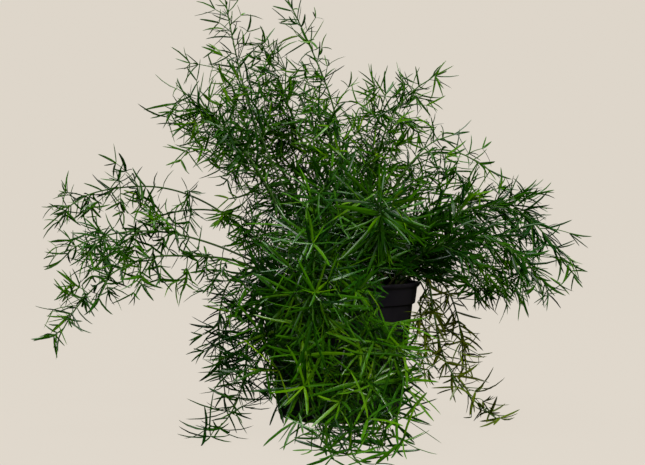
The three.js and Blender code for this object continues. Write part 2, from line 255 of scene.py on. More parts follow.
def pot_plastic():
    """Black plastic with a faint violet cast, paler where dust and water have marked it. A painted
    sheen makes its right side paler.
    """
    material, wire, surface = new_finish("pot_black_plastic")
    place = wire.node("ShaderNodeTexCoord", out=3)
    cloud = wire.node("ShaderNodeTexNoise", {}, {"Vector": place, "Scale": 28.0, "Detail": 5.0})
    streak_place = wire.node("ShaderNodeMapping", {}, {"Vector": place, "Scale": (90, 90, 9)})
    streak = wire.node("ShaderNodeTexNoise", {}, {
        "Vector": streak_place, "Scale": 1.0, "Detail": 4.0,
    })
    grain = wire.node("ShaderNodeTexNoise", {}, {"Vector": place, "Scale": 900.0, "Detail": 2.0})
    dust = (cloud * 0.6 + streak * 0.4).spread(0.46, 0.68)
    across = wire.node("ShaderNodeSeparateXYZ", {}, {"Vector": place})
    # Painted sheen: the plastic is painted paler towards its right side, from 25 to 62 mm in x.
    painted_sheen_right = across.spread(0.025, 0.062)
    colour = wire.blend(dust * 0.2 + painted_sheen_right * 0.4, (0.0030, 0.0026, 0.0060), (0.036, 0.031, 0.033))
    bump = wire.node("ShaderNodeBump", {}, {"Strength": 0.10, "Distance": 0.0004, "Height": grain})
    wire.feed(surface, {
        "Base Color": colour, "Roughness": 0.42 + dust * 0.16 + grain * 0.06, "Normal": bump,
        "Specular IOR Level": 0.35,
    })
    return material


pot_shell = turned_mesh("nursery_pot", pot_profile(), POT_SIDES)
pot = add_piece("nursery_pot", pot_shell, "pot", "pot_plastic")
cut(pot, drain_cutter())
pot.data.materials.append(pot_plastic())
pot.data.shade_smooth()
pot.data.set_sharp_from_angle(angle=math.radians(SHARP_POT_EDGE))


# Peat
# Damp, dark, fibrous peat fills the pot to just under its band. It is one filling with a
# crumbly top, and loose crumbs lie on it, pressed a little way in.
SOIL_TOP = 96.5
SOIL_RADIUS = 59.9
SOIL_SIDES = 120
SOIL_RINGS = 34
CRUMBS = 420


def peat_top(r, turn):
    """The height of the lumpy top at a radius and a turn."""
    wave = 1.5 * math.sin(0.21 * r + 3 * turn) * math.cos(0.17 * r - 2 * turn + 1)
    fine = 0.5 * math.sin(1.1 * r + 7 * turn) * math.sin(0.9 * r - 11 * turn)
    return SOIL_TOP + wave + fine


def peat_mesh():
    """The filling: loops up its tapered side, then loops across its top to the middle."""
    mesh = bmesh.new()
    loops = [(46.4, 2.6), (50.0, 40), (54.2, 70), (56.6, 88), (58.9, 91.8)]
    loops += [(SOIL_RADIUS * i / SOIL_RINGS, None) for i in range(SOIL_RINGS, 0, -1)]
    made = []
    for r, z in loops:
        row = []
        for k in range(SOIL_SIDES):
            turn = 2 * math.pi * k / SOIL_SIDES
            height = peat_top(r, turn) if z is None else z
            place = Vector((r * math.cos(turn), r * math.sin(turn), height))
            row.append(mesh.verts.new(place * MM))
        made.append(row)
    for low, high in zip(made, made[1:]):
        for k in range(SOIL_SIDES):
            n = (k + 1) % SOIL_SIDES
            mesh.faces.new((low[k], low[n], high[n], high[k]))
    middle = mesh.verts.new((0, 0, peat_top(0, 0) * MM))
    for k in range(SOIL_SIDES):
        mesh.faces.new((made[-1][k], made[-1][(k + 1) % SOIL_SIDES], middle))
    mesh.faces.new(list(reversed(made[0])))
    bmesh.ops.recalc_face_normals(mesh, faces=mesh.faces)
    return finished_mesh("peat_filling", mesh)


def dice(*keys):
    """Seeded draws, the same on every run: call the result with a low and a high limit."""
    modulus = 2147483647
    state = [17]
    for key in keys:
        state[0] = (state[0] * 131 + key + 7) * 16807 % modulus

    def roll(low, high):
        state[0] = state[0] * 16807 % modulus
        return low + (high - low) * state[0] / modulus

    return roll


def crumb_mesh():
    """Loose crumbs of peat and bark, each a rough closed lump sunk a little into the top."""
    roll = dice(9, 9)
    mesh = bmesh.new()
    for _ in range(CRUMBS):
        r = SOIL_RADIUS * 0.95 * math.sqrt(roll(0, 1))
        turn = roll(0, 2 * math.pi)
        size = roll(0.6, 2.1)
        made = bmesh.ops.create_icosphere(mesh, subdivisions=1, radius=size * MM)["verts"]
        for vert in made:
            vert.co *= roll(0.7, 1.2)
            vert.co.z *= 0.7
        at = (r * math.cos(turn), r * math.sin(turn), peat_top(r, turn) + 0.2 * size)
        bmesh.ops.translate(mesh, verts=made, vec=Vector(at) * MM)
    return finished_mesh("peat_crumbs", mesh)


def peat_finish():
    material, wire, surface = new_finish("peat")
    place = wire.node("ShaderNodeTexCoord", out=3)
    clods = wire.node("ShaderNodeTexNoise", {}, {"Vector": place, "Scale": 220.0, "Detail": 8.0})
    fibre = wire.node("ShaderNodeTexVoronoi", {}, {"Vector": place, "Scale": 700.0})
    colour = wire.node("ShaderNodeValToRGB", {"stops": [
        (0.30, (0.004, 0.003, 0.002)), (0.52, (0.016, 0.010, 0.006)), (0.72, (0.055, 0.034, 0.018)),
    ]}, {"Fac": clods})
    relief = clods * 0.7 + fibre * 0.3
    bump = wire.node("ShaderNodeBump", {}, {"Strength": 0.9, "Distance": 0.0012, "Height": relief})
    wire.feed(surface, {"Base Color": colour, "Roughness": 0.88 + fibre * 0.1, "Normal": bump})
    return material


peat = peat_finish()
add_piece("peat_filling", peat_mesh(), "soil", "peat", peat)
add_piece("peat_crumbs", crumb_mesh(), None, "peat", peat)


# Leafy stems
# Each is one wiry green cane, tan at its foot, that carries short twigs. Canes and twigs bear
# stars of narrow flat leaves, small and thin on old growth, long and broad in front.

# A row gives the foot on the peat, the points passed, the bare share of the cane, the longest
# twig in millimetres, and the kind of growth.
STEMS = {
    "left_high": ((-20, 8), [(-38, 8, 118), (-63, 10, 138), (-108, 18, 171), (-145, 26, 184),
                             (-184, 30, 184), (-214, 32, 176), (-234, 32, 160)], 0.68, 36, "fan"),
    "left_mid": ((-30, -4), [(-72, -12, 126), (-121, -28, 145), (-150, -34, 149), (-180, -38, 146),
                             (-204, -42, 137), (-216, -42, 126)], 0.54, 38, "fan"),
    "left_drooping": ((-36, -14), [(-76, -32, 124), (-122, -44, 130), (-150, -52, 128),
                                   (-178, -58, 114), (-201, -60, 90), (-212, -60, 72)],
                      0.34, 34, "fan"),
    "left_back": ((-27, 20), [(-52, 38, 138), (-98, 64, 164), (-152, 88, 162), (-198, 104, 136),
                              (-222, 108, 116)], 0.64, 36, "fan"),
    "left_hanging": ((-34, -24), [(-56, -42, 117), (-68, -58, 88), (-70, -72, 56), (-75, -82, 28),
                                  (-83, -90, 12), (-89, -95, 6)], 0.26, 30, "dark"),
    "left_hanging_back": ((-40, 2), [(-66, 4, 119), (-88, 2, 108), (-96, -2, 84), (-95, -8, 46),
                                     (-91, -14, 19)], 0.5, 26, "dark"),
    "top_left_tallest": ((-10, -2), [(-28, -6, 150), (-52, -10, 200), (-72, -12, 248),
                                     (-84, -12, 298), (-92, -14, 340)], 0.42, 28, "airy"),
    "top_left_front": ((-17, -12), [(-42, -24, 155), (-70, -34, 206), (-96, -40, 235),
                                    (-112, -42, 249), (-122, -42, 258)], 0.56, 34, "airy"),
    "top_left_low": ((-19, 0), [(-45, 2, 158), (-76, 10, 210), (-98, 16, 237), (-116, 20, 249)],
                     0.46, 34, "airy"),
    "top_left_back": ((-9, 10), [(-26, 24, 158), (-56, 38, 216), (-74, 46, 254), (-86, 48, 280)],
                      0.48, 34, "airy"),
    "top_front": ((0, 2), [(2, 0, 150), (2, -2, 198), (-4, -4, 246), (-22, -6, 294),
                           (-44, -8, 340)], 0.2, 26, "airy"),
    "top_back": ((-2, 14), [(-10, 26, 150), (-22, 32, 198), (-36, 36, 236), (-44, 36, 262),
                            (-44, 36, 282)], 0.3, 40, "airy"),
    "top_right_front": ((7, -6), [(9, -12, 150), (8, -16, 190), (-8, -22, 224), (-22, -24, 254)],
                        0.16, 36, "airy"),
    "top_right": ((10, 6), [(18, 12, 152), (30, 18, 206), (46, 22, 246), (64, 24, 266),
                            (76, 24, 274)], 0.26, 34, "airy"),
    "top_right_back": ((8, 16), [(16, 40, 150), (26, 62, 200), (34, 74, 240), (42, 80, 268)],
                       0.3, 38, "airy"),
    "right_high": ((18, 0), [(34, 2, 150), (55, 6, 200), (75, 10, 214), (99, 12, 212),
                             (124, 14, 198)], 0.26, 34, "fan"),
    "right_high_back": ((17, 12), [(34, 24, 150), (56, 38, 198), (78, 48, 222), (98, 54, 230)],
                        0.26, 34, "fan"),
    "right_longest": ((28, -6), [(50, -12, 132), (82, -16, 158), (114, -18, 168), (142, -22, 164),
                                 (160, -26, 148), (174, -28, 128)], 0.18, 34, "dense"),
    "right_front": ((32, -16), [(58, -36, 126), (84, -50, 142), (110, -58, 144), (134, -62, 132),
                                (152, -62, 114)], 0.16, 34, "dense"),
    "right_mid": ((26, 5), [(50, 12, 146), (84, 20, 168), (124, 26, 174), (164, 28, 162)],
                  0.14, 34, "dense"),
    "right_low": ((37, -4), [(70, 4, 124), (102, 8, 132), (126, 8, 118), (142, 4, 103)],
                  0.16, 32, "dense"),
    "right_back": ((26, 20), [(54, 44, 142), (94, 68, 160), (134, 86, 148), (166, 96, 122)],
                   0.16, 36, "dense"),
    "right_hanging": ((38, -14), [(66, -26, 116), (74, -32, 84), (81, -38, 51), (94, -44, 29),
                                  (110, -52, 13), (120, -58, 6)], 0.26, 30, "olive"),
    "right_hanging_back": ((38, 8), [(66, 14, 118), (88, 18, 102), (100, 22, 70), (104, 26, 34)],
                           0.26, 30, "olive"),
    "front_left": ((-18, -30), [(-17, -64, 126), (-27, -88, 99), (-29, -100, 67), (-24, -118, 38),
                                (-13, -146, 9), (-8, -190, 5), (-6, -212, 5)], 0.16, 26, "front"),
    "front_middle": ((0, -36), [(4, -68, 129), (0, -96, 99), (3, -110, 64), (6, -124, 34),
                                (6, -150, 10), (6, -188, 5), (12, -236, 5)], 0.16, 30, "front"),
    "front_right": ((14, -33), [(14, -67, 126), (16, -92, 99), (27, -113, 69), (33, -130, 42),
                                (31, -146, 15), (27, -166, 6), (28, -180, 5)], 0.44, 26, "front"),
    "centre_front": ((-5, -14), [(-7, -32, 142), (-10, -54, 174), (-12, -72, 186)],
                     0.14, 30, "crown"),
    "front_nodding": ((10, -18), [(18, -44, 146), (26, -82, 166), (28, -120, 166)],
                      0.2, 26, "nodding"),
    "front_arching": ((-8, -22), [(-12, -52, 138), (-16, -88, 142), (-20, -120, 120),
                                  (-20, -142, 88)], 0.2, 30, "front"),
    "front_corner": ((-27, -24), [(-48, -54, 118), (-58, -76, 92), (-54, -92, 58), (-46, -108, 30)],
                     0.22, 28, "crown"),
    "back_left": ((-12, 28), [(-26, 58, 150), (-42, 100, 182), (-52, 142, 168), (-58, 174, 132)],
                  0.16, 38, "dense"),
    "back_right": ((12, 28), [(28, 64, 142), (48, 106, 158), (66, 144, 140), (78, 170, 104)],
                   0.12, 38, "dense"),
    "back_hanging": ((0, 36), [(2, 70, 122), (6, 100, 104), (8, 118, 64), (10, 136, 24),
                               (14, 166, 6)], 0.24, 34, "dark"),
    "back_corner": ((-24, 31), [(-48, 60, 124), (-78, 86, 110), (-96, 102, 72), (-104, 112, 38)],
                    0.24, 34, "dark"),
}

# Further twigs that reach out of a stem to a star of leaves: the star's place, its number of
# leaves and their length.
REACHING_STARS = {
    "left_high": [(-96, 12, 158, 9, 15), (-205, 28, 168, 4, 16), (-228, 34, 162, 4, 16),
                  (-70, 4, 160, 9, 17), (-70, 4, 150, 9, 17), (-60, 2, 146, 9, 17),
                  (-71, 10, 169, 6, 17), (-87, 10, 156, 6, 16), (-66, 2, 138, 8, 17),
                  (-76, 2, 140, 8, 17), (-79, 6, 151, 9, 17), (-75, 8, 144, 8, 17),
                  (-92, 14, 162, 9, 16), (-94, 10, 163, 8, 17), (-122, 18, 181, 4, 18),
                  (-126, 20, 167, 4, 17), (-181, 28, 172, 7, 16), (-164, 24, 168, 6, 16),
                  (-183, 28, 191, 5, 17), (-227, 30, 181, 5, 17), (-124, 28, 156, 6, 17)],
    "left_mid": [(-144, -40, 158, 8, 17), (-190, -30, 150, 7, 17), (-191, -44, 114, 8, 17),
                 (-129, -30, 148, 6, 16), (-148, -32, 156, 6, 16), (-158, -44, 134, 5, 16),
                 (-190, -36, 137, 8, 17), (-210, -36, 142, 6, 17), (-62, -20, 134, 8, 17),
                 (-181, -40, 140, 7, 17)],
    "left_drooping": [(-105, -38, 118, 7, 16), (-92, -30, 118, 9, 16), (-104, -34, 130, 5, 16),
                      (-120, -38, 108, 7, 16), (-99, -38, 108, 8, 16), (-152, -50, 108, 7, 17),
                      (-138, -50, 112, 7, 17), (-205, -56, 108, 8, 17), (-175, -64, 104, 8, 16),
                      (-194, -62, 98, 7, 16), (-209, -58, 101, 7, 17), (-208, -58, 83, 5, 18),
                      (-218, -58, 69, 5, 17)],
    "left_back": [(-222, 98, 136, 9, 18), (-206, 92, 124, 9, 18), (-186, 88, 118, 7, 17)],
    "left_hanging": [(-59, -62, 59, 8, 24), (-79, -62, 67, 9, 22), (-89, -68, 51, 8, 24),
                     (-82, -72, 43, 8, 24), (-77, -84, 26, 8, 32), (-84, -92, 17, 6, 34),
                     (-88, -101, 6, 8, 34), (-93, -122, 4, 6, 34), (-98, -112, 7, 7, 34),
                     (-72, -86, 20, 5, 30)],
    "top_left_front": [(-119, -40, 231, 5, 20), (-108, -42, 240, 5, 20), (-134, -42, 237, 4, 22),
                       (-124, -36, 204, 4, 20)],
    "top_left_back": [(-126, 48, 290, 5, 21)],
    "top_left_low": [(-121, 12, 216, 6, 22), (-68, 0, 182, 8, 20), (-56, 0, 206, 8, 20),
                     (-84, 6, 196, 6, 22), (-91, 8, 190, 5, 22), (-55, 0, 184, 8, 20),
                     (-50, 0, 178, 8, 20)],
    "top_front": [(-31, -10, 256, 8, 18), (-17, -10, 250, 8, 18), (-6, -10, 239, 8, 18),
                  (-10, -10, 228, 8, 18)],
    "top_back": [(-57, 36, 262, 8, 20), (-38, 36, 272, 8, 20), (-64, 36, 298, 7, 18),
                 (-56, 36, 290, 9, 18), (-61, 36, 280, 9, 18), (-51, 36, 276, 9, 18),
                 (-49, 34, 254, 8, 18), (-55, 34, 243, 7, 18), (-66, 34, 270, 9, 18),
                 (-52, 36, 300, 7, 18), (-62, 36, 306, 8, 18), (-70, 36, 292, 8, 18),
                 (-44, 32, 242, 9, 18), (-47, 34, 262, 9, 18), (-42, 32, 226, 9, 18),
                 (-49, 30, 232, 9, 18)],
    "top_right_front": [(-22, -22, 245, 8, 18), (-20, -20, 226, 9, 18), (-13, -18, 213, 9, 18),
                        (-26, -22, 237, 9, 18), (-23, -22, 219, 9, 18), (-14, -22, 205, 9, 18),
                        (-29, -24, 279, 4, 16)],
    "top_right": [(51, 26, 261, 10, 20), (80, 24, 277, 8, 20), (64, 24, 258, 7, 20),
                  (59, 20, 234, 8, 20), (47, 16, 218, 7, 20), (53, 24, 270, 9, 18),
                  (51, 22, 238, 8, 19), (66, 22, 230, 8, 19), (41, 20, 215, 8, 19),
                  (42, 16, 194, 9, 19)],
    "top_right_back": [(32, 78, 273, 11, 22), (36, 72, 249, 10, 22), (29, 72, 263, 8, 20),
                       (10, 66, 245, 8, 20), (24, 44, 204, 8, 19)],
    "right_high": [(82, 8, 197, 8, 18), (95, 10, 197, 7, 18), (72, 6, 193, 7, 18),
                   (104, 10, 187, 6, 18), (74, 8, 179, 8, 19), (95, 8, 169, 8, 19),
                   (104, 8, 164, 7, 19), (64, 6, 178, 8, 19), (60, 6, 184, 8, 19)],
    "right_mid": [(134, 24, 184, 7, 18), (144, 26, 177, 6, 18), (157, 28, 176, 6, 18)],
    "right_low": [(106, 4, 106, 8, 19), (118, 4, 102, 8, 19), (128, 4, 104, 8, 19),
                  (38, 10, 122, 9, 18), (48, 14, 120, 9, 18), (30, 10, 126, 8, 18),
                  (56, 14, 123, 8, 18), (71, 14, 133, 9, 20), (83, 14, 126, 9, 20),
                  (66, 14, 124, 9, 20), (90, 14, 135, 8, 20), (77, 14, 117, 7, 20),
                  (112, 2, 98, 8, 19), (122, 2, 97, 8, 19), (131, 0, 99, 8, 19)],
    "right_front": [(147, -60, 105, 6, 19), (140, -40, 115, 8, 20), (158, -62, 101, 5, 19)],
    "right_longest": [(184, -30, 114, 3, 16), (147, -20, 159, 7, 19), (149, -20, 146, 7, 19),
                      (137, -20, 132, 7, 19)],
    "right_hanging": [(122, -60, 7, 7, 22), (66, -34, 70, 7, 22), (61, -30, 93, 6, 20),
                      (66, -42, 38, 6, 20), (67, -36, 60, 7, 22), (63, -36, 84, 6, 22),
                      (105, -46, 25, 4, 22), (110, -54, 19, 6, 22), (115, -56, 11, 6, 22),
                      (61, -36, 79, 7, 22), (63, -38, 55, 7, 22)],
    "front_left": [(-34, -108, 104, 7, 32), (-24, -125, 62, 7, 34), (-34, -118, 84, 6, 32),
                   (-8, -120, 80, 7, 34), (-28, -122, 40, 7, 32), (-11, -138, 12, 5, 26),
                   (-8, -136, 12, 6, 24), (0, -140, 10, 6, 24)],
    "front_middle": [(12, -114, 107, 14, 24), (11, -118, 107, 9, 25), (16, -135, 64, 7, 34),
                     (22, -145, 45, 8, 42), (3, -130, 32, 7, 32), (10, -138, 16, 5, 26)],
    "front_right": [(39, -130, 69, 9, 32), (34, -134, 44, 7, 30), (41, -172, 10, 6, 32)],
    "front_corner": [(-54, -92, 98, 7, 28), (-46, -104, 70, 7, 28)],
    "front_arching": [(-10, -128, 88, 6, 32), (-4, -114, 128, 7, 34), (-34, -90, 128, 7, 30)],
    "centre_front": [(-14, -82, 174, 7, 26), (-28, -72, 157, 7, 26)],
    "front_nodding": [(28, -124, 161, 15, 40)],
    "back_left": [(-30, 40, 118, 9, 20), (-18, 40, 124, 9, 20), (-6, 40, 118, 8, 20)],
    "back_right": [(36, 40, 111, 9, 20), (42, 40, 110, 9, 20), (48, 40, 111, 9, 20),
                   (30, 42, 110, 9, 20), (60, 44, 110, 9, 20), (20, 40, 117, 9, 20),
                   (28, 40, 114, 9, 20), (37, 40, 112, 9, 20), (46, 40, 116, 9, 20),
                   (54, 34, 116, 8, 20), (64, 44, 122, 8, 20)],
}

# How each kind of growth looks: a leaf's length and width, the twigs beside those of the solid
# and the shares of the leafy part of a cane that they stand between, the gap between stars on a
# twig, the leaves in a star nearer the foot and nearer the tip, the lean of a leaf from its twig,
# the sag of a twig, how steep leaves may stand, and the tones of old and young leaves. The tones
# also hold painted light and shade: they are high for the growth in front and low for the stems
# that hang at the left and back, and the stems that hang at the right take the finish of leaves
# in painted shade.
Growth = namedtuple("Growth", "length width twigs low top gap inner outer lean sag steep tones")
GROWTH = {
    "fan": Growth(20, 2.45, 4, 0.0, 0.96, 13.0, 4, 3, 1.20, 0.12, 1.0, (0.16, 0.46)),
    "airy": Growth(20, 2.45, 18, 0.20, 0.88, 8.0, 4, 3, 1.15, 0.16, 1.0, (0.24, 0.50)),
    "dense": Growth(22, 2.6, 19, 0.0, 0.96, 8.5, 4, 4, 0.60, 0.16, 1.0, (0.15, 0.36)),
    "dark": Growth(22, 2.4, 5, 0.28, 0.72, 11.0, 4, 4, 0.80, -0.30, 0.4, (-0.02, 0.24)),
    "olive": Growth(23, 2.7, 6, 0.40, 0.96, 11.5, 3, 3, 1.10, -0.10, 0.8, (0.36, 0.60)),
    "crown": Growth(28, 2.2, 26, 0.0, 0.96, 8.0, 5, 4, 1.15, 0.0, 1.0, (0.02, 0.29)),
    "nodding": Growth(38, 2.7, 22, 0.0, 0.96, 9.0, 5, 4, 1.10, 0.16, 1.0, (0.12, 0.40)),
    "front": Growth(36, 2.3, 23, 0.0, 0.90, 9.0, 6, 5, 1.15, -0.30, 1.0, (0.25, 0.67)),
}
# The solid's twigs, by their places among the twenty on a cane
TWIG_PLACES = 20
SOLID_TWIGS = (2, 7, 12, 17)

# Canes: the depth of the root, the gap between points, radii, sides, and stars of leaves
ROOT_DEPTH = 13
CANE_STEP = 4
CANE_RADII = (1.05, 0.5)
CANE_SIDES = 7
CANE_STARS = 14

# Twigs: the lean from the cane, the share of length lost at its tip, radii and sides. Each
# stands a golden angle round from the one before, and tries further turns until it is clear.
TWIG_LEAN = 0.95
TWIG_TIP_LOSS = 0.55
TWIG_RADII = (0.45, 0.28)
REACHING_RADII = (0.45, 0.30)
TWIG_SIDES = 4
GOLDEN_TURN = 2.39996
TURNS_TO_TRY = (0, 0.45, -0.45, 0.9, -0.9, 1.4, -1.4, 2, -2, 2.6, -2.6, 3.1)

# Leaves of this length or more are broad blades, and edges past this angle stay crisp
BROAD_LENGTH = 24
CREASE = 32

# Heights: the room under leaves on the surface, the top of low growth, and the height above which
# the front's growth is painted darker, as painted shade
FLOOR_ROOM = 0.6
LOW_GROWTH = 14
HIGH_GROWTH = 100

# The part of the pot's band that stays in view at the front right. Leaves that are rooted left
# of it may reach a little way in.
BAND_VIEW_X = (27, 62)
BAND_VIEW_Y = -24
BAND_VIEW_Z = (88, 113)
LEFT_ROOTS = 20
LEFT_REACH = 38

# Where no twig may end: the room under the mass at the right, and beside the pot's foot
UNDER_RIGHT_MASS = 105
FOOT_SIDE = 46
FOOT_TOP = 48


def unit(vectors):
    return vectors / np.linalg.norm(vectors, axis=-1, keepdims=True)


def smooth_run(points, spacing):
    """Evenly spaced points on a smooth curve through the given ones."""
    knots = np.array(points, float)
    knots = np.vstack([2 * knots[0] - knots[1], knots, 2 * knots[-1] - knots[-2]])
    steps = np.linalg.norm(np.diff(knots, axis=0), axis=1) ** 0.5
    fine = []
    for i in range(1, len(knots) - 2):
        before, a, b, after = knots[i - 1:i + 3]
        d0, d1, d2 = steps[i - 1:i + 2]
        leave = d1 * ((a - before) / d0 - (b - before) / (d0 + d1) + (b - a) / d1)
        arrive = d1 * ((b - a) / d1 - (after - a) / (d1 + d2) + (after - b) / d2)
        t = np.linspace(0, 1, 24, endpoint=False)[:, None]
        fine.append(a + leave * t + (3 * (b - a) - 2 * leave - arrive) * t ** 2
                    + (2 * (a - b) + leave + arrive) * t ** 3)
    fine = np.vstack([*fine, knots[-2:-1]])
    run = np.concatenate([[0], np.cumsum(np.linalg.norm(np.diff(fine, axis=0), axis=1))])
    count = max(2, round(run[-1] / spacing) + 1)
    even = np.linspace(0, run[-1], count)
    return np.stack([np.interp(even, run, fine[:, k]) for k in range(3)], axis=1)


def cane_points(foot, points):
    """The run of a cane, from its root in the peat out to its tip."""
    start = np.array([*foot, SOIL_TOP])
    down = unit(start - np.array(points[0]))
    down[:2] *= 0.4
    root = start + unit(down) * ROOT_DEPTH
    return smooth_run([root, start, *points], CANE_STEP)


def at_share(points, share):
    """The place and the direction at a share of the way along a run of even points."""
    x = share * (len(points) - 1)
    i = min(int(x), len(points) - 2)
    return points[i] + (x - i) * (points[i + 1] - points[i]), unit(points[i + 1] - points[i])


def leaving(along, turn, lean):
    """The direction that leaves an axis at a lean, turned about it."""
    across = np.cross(along, (0, 0, 1))
    if np.linalg.norm(across) < 0.15:
        across = np.cross((1, 0, 0), along)
    across = unit(across)
    over = np.cross(across, along)
    return (along * math.cos(lean)
            + math.sin(lean) * (across * math.cos(turn) + over * math.sin(turn)))


# The radius that growth stays out of, at four heights up the pot's outside
KEPT_CLEAR = ([0, BAND_FOOT, BAND_TOP, POT_HEIGHT], [48.5, 60.5, 64, LIP_RADIUS])


def blocked(points, margin):
    """Whether each point is in the pot's wall or the peat, or too close to the surface."""
    r = np.hypot(points[..., 0], points[..., 1])
    z = points[..., 2]
    wall = np.interp(z, *KEPT_CLEAR)
    in_pot = (r < wall + margin) & (z < POT_HEIGHT + margin)
    over_peat = (r < wall - POT_WALL - 2 * margin) & (z > SOIL_TOP + 2.2 + margin)
    return (in_pot & ~over_peat) | (z < FLOOR_ROOM + margin)


def twig_points(keys, share, cane, bare, reach, sag):
    """The run of one twig, turned about its cane until it is clear, or nothing."""
    roll = dice(*keys)
    u = bare + (1 - bare) * share
    start, along = at_share(cane, u)
    length = reach * (1 - TWIG_TIP_LOSS * u ** 3) * roll(0.75, 1.05)
    turn = GOLDEN_TURN * keys[1] + roll(-0.4, 0.4)
    lean = TWIG_LEAN + roll(-0.18, 0.18)
    for extra in TURNS_TO_TRY:
        out = leaving(along, turn + extra, lean)
        t = np.linspace(0, 1, 7)[:, None]
        run = start + out * length * t + np.array([0, 0, -sag * length]) * t ** 2
        run += along * 0.10 * length * t ** 2
        if not blocked(run[2:], 1.0).any():
            return run
    return None


class Leaves:
    """Narrow flat leaves, gathered one by one and then made into closed blades together."""

    def __init__(self, broad):
        self.rows = []
        self.broad = broad
        if broad:
            self.rings = np.array([0.04, 0.15, 0.45, 0.80, 0.94])
            self.widths = np.array([0.50, 0.90, 1.0, 0.88, 0.52])
            self.section = np.array([(1, 0.04), (0, 0.38), (-1, 0.04), (0, -0.34)])
        else:
            self.rings = np.array([0.05, 0.30, 0.65, 0.90])
            self.widths = np.array([0.72, 1.0, 0.90, 0.52])
            self.section = np.array([(1, 0.14), (-1, 0.14), (0, -0.60)])

    def add(self, root, out, over, length, width, bend, sway, tone):
        self.rows.append([*root, *out, *over, length, width, bend, sway, tone])

    def spines(self, rows, t):
        """Places along the middle of each leaf, for shares t of its length."""
        root, out, over = rows[:, None, 0:3], rows[:, None, 3:6], rows[:, None, 6:9]
        length, bend, sway = (rows[:, k][:, None, None] for k in (9, 11, 12))
        side = np.cross(out, over)
        t = np.asarray(t)[None, :, None]
        return root + length * (out * t + (over * bend + side * sway) * t ** 2)

    def clear(self):
        """Turn leaves away from the pot and lay low ones on the surface. Leaves that still meet
        the pot, or cover the part of its band that stays in view, are dropped."""
        rows = np.array(self.rows)
        root, out, over = rows[:, 0:3], rows[:, 3:6], rows[:, 6:9]
        inward = np.concatenate([-root[:, :2], np.zeros((len(root), 1))], axis=1)
        inward = unit(inward + 1e-9)
        heading = (out * inward).sum(axis=1, keepdims=True)
        hits = blocked(self.spines(rows, (0.5, 1)), 0.8).any(axis=1)
        low = self.spines(rows, (0.5, 1))[:, :, 2].min(axis=1) < FLOOR_ROOM + 1
        turned = out - 2 * np.maximum(heading, 0) * inward
        out[:] = np.where((hits & ~low)[:, None], turned, out)
        for _ in range(3):
            room = FLOOR_ROOM + rows[:, 10] / 2
            short = room - self.spines(rows, (0.35, 0.7, 1))[:, :, 2].min(axis=1)
            out[:, 2] += np.maximum(short, 0) * 1.3 / rows[:, 9]
            out[:] = unit(out)
            over[:] = unit(over - (over * out).sum(axis=1, keepdims=True) * out)
        spots = self.spines(rows, (0.35, 0.7, 1))
        return rows[~(blocked(spots, 0.3) | self.over_band(rows, spots)).any(axis=1)]

    def over_band(self, rows, spots):
        """Which places of each leaf lie over the part of the band that stays in view."""
        x, y, z = spots[..., 0], spots[..., 1], spots[..., 2]
        left = np.where(rows[:, :1] < LEFT_ROOTS, LEFT_REACH, BAND_VIEW_X[0])
        return ((x > left) & (x < BAND_VIEW_X[1]) & (y < BAND_VIEW_Y)
                & (z > BAND_VIEW_Z[0]) & (z < BAND_VIEW_Z[1]))

    def mesh_arrays(self):
        """The points of all the blades, and each point's share of the length and its tone."""
        rows = self.clear()
        out, over = rows[:, None, 3:6], rows[:, None, 6:9]
        width, bend, tone = (rows[:, k][:, None, None] for k in (10, 11, 13))
        side = np.cross(out, over)
        t = np.array([0, *self.rings, 1])
        spine = self.spines(rows, t)
        t = t[None, :, None]
        lift = unit(over - 2 * bend * t * out)[:, 1:-1]
        half = (width * self.widths[None, :, None]) / 2
        middle = spine[:, 1:-1]
        ring = np.stack(
            [middle + side * half * a + lift * half * b for a, b in self.section], axis=2)
        count, around = len(rows), len(self.rings) * len(self.section)
        points = np.concatenate(
            [spine[:, :1], ring.reshape(count, around, 3), spine[:, -1:]], axis=1)
        along = np.concatenate([[0], np.repeat(self.rings, len(self.section)), [1]])
        return points, np.tile(along, count), np.repeat(tone.ravel(), len(along))

    def faces(self, count, first):
        """The triangles of all the blades: a point at each end and rings between them."""
        sides = len(self.section)
        last = sides * len(self.rings) + 1
        one = []
        for k in range(sides):
            n = (k + 1) % sides
            one.append((0, 1 + n, 1 + k))
            one.append((last, last - sides + k, last - sides + n))
            for ring in range(len(self.rings) - 1):
                a, b = 1 + sides * ring + k, 1 + sides * ring + n
                one += [(a, b, b + sides), (a, b + sides, a + sides)]
        starts = first + (last + 1) * np.arange(count)
        return (np.array(one)[None] + starts[:, None, None]).reshape(-1, 3)


def tube(points, foot_radius, tip_radius, sides, first):
    """A closed tapered tube: its points, how far along each is, and its triangles."""
    along = unit(np.gradient(points, axis=0))
    normal = unit(np.cross(along[0], (0.31, 0.93, 0.2)))
    rings = []
    for i, way in enumerate(along):
        normal = unit(normal - way * normal.dot(way))
        across = np.cross(way, normal)
        radius = foot_radius + (tip_radius - foot_radius) * i / (len(points) - 1)
        turn = 2 * math.pi * np.arange(sides)[:, None] / sides
        rings.append(points[i] + radius * (normal * np.cos(turn) + across * np.sin(turn)))
    last = len(points) - 1
    ends = [points[0] - along[0] * foot_radius * 0.4, points[-1] + along[-1] * tip_radius]
    k = np.arange(sides)
    n = (k + 1) % sides
    low = (first + sides * np.arange(last))[:, None]
    faces = np.concatenate([
        np.stack([low + k, low + n, low + n + sides], axis=-1).reshape(-1, 3),
        np.stack([low + k, low + n + sides, low + k + sides], axis=-1).reshape(-1, 3),
        np.stack([first + n, first + k, np.full(sides, first + sides * (last + 1))], axis=-1),
        np.stack([first + sides * last + k, first + sides * last + n,
                  np.full(sides, first + sides * (last + 1) + 1)], axis=-1),
    ])
    share = np.concatenate([np.repeat(np.linspace(0, 1, last + 1), sides), [0, 1]])
    return np.vstack([*rings, *ends]), share, faces


